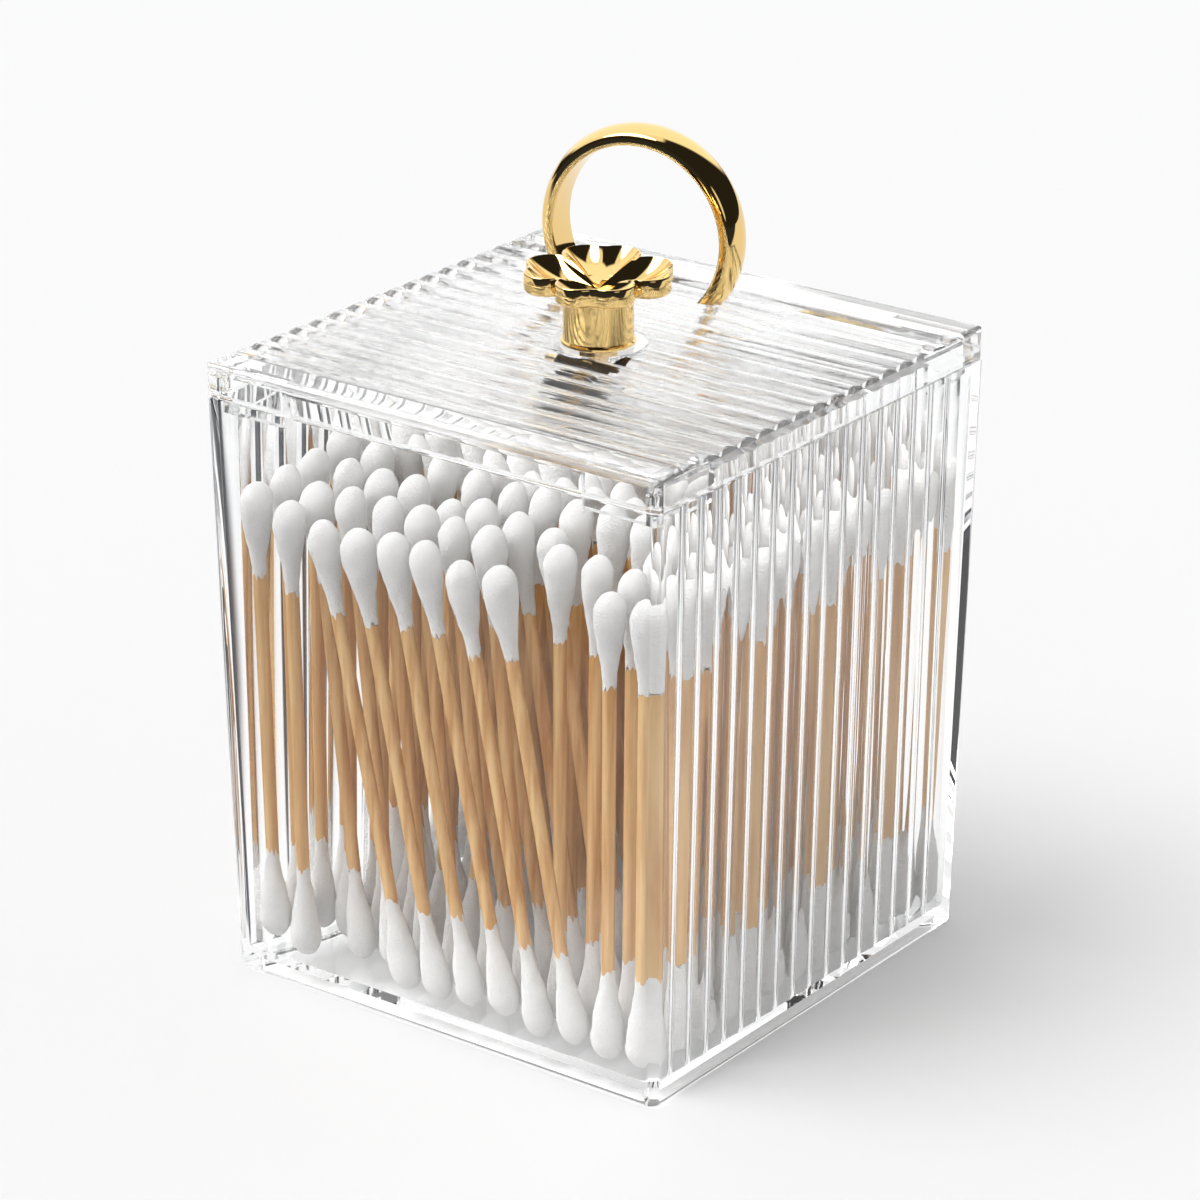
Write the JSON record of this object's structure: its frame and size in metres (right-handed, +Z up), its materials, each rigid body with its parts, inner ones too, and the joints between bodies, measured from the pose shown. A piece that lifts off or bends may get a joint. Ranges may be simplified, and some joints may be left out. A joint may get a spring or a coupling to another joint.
{
  "type": "cotton swab holder",
  "caption": "Square clear box full of wooden cotton swabs, with a ribbed lift-off lid that carries a polished gold flower knob and an open ring handle.",
  "frame": {"origin": "centre of the base, on the plane it stands on", "axes": "+Z up, -Y the plain front, +X and -X the ribbed sides"},
  "size_m": [0.0844, 0.0844, 0.1265],
  "materials": {
    "clear_box": "clear polystyrene, polished",
    "clear_lid": "clear polystyrene, polished",
    "polished_gold": "polished gold plating",
    "screw_steel": "zinc plated",
    "stick_wood": "raw birch",
    "cotton": "wound cotton"
  },
  "bodies": {
    "holder": {"box_body": "clear_box", "swab_sticks_01": "stick_wood", "swab_sticks_02": "stick_wood", "swab_sticks_03": "stick_wood", "swab_sticks_04": "stick_wood", "swab_sticks_05": "stick_wood", "swab_sticks_06": "stick_wood", "swab_sticks_07": "stick_wood", "swab_sticks_08": "stick_wood", "swab_sticks_09": "stick_wood", "swab_sticks_10": "stick_wood", "swab_sticks_11": "stick_wood", "swab_sticks_12": "stick_wood", "swab_sticks_13": "stick_wood", "cotton_tips_01": "cotton", "cotton_tips_02": "cotton", "cotton_tips_03": "cotton", "cotton_tips_04": "cotton", "cotton_tips_05": "cotton", "cotton_tips_06": "cotton", "cotton_tips_07": "cotton", "cotton_tips_08": "cotton", "cotton_tips_09": "cotton", "cotton_tips_10": "cotton", "cotton_tips_11": "cotton", "cotton_tips_12": "cotton", "cotton_tips_13": "cotton"},
    "lid_assembly": {"lid": "clear_lid", "flower_knob": "polished_gold", "knob_screw": "screw_steel", "ring_handle": "polished_gold"}
  },
  "joints": [
    {"name": "lid_lift", "type": "slide", "parent": "holder", "child": "lid_assembly", "axis": [0, 0, 1], "range_m": [0, 0.06]}
  ]
}
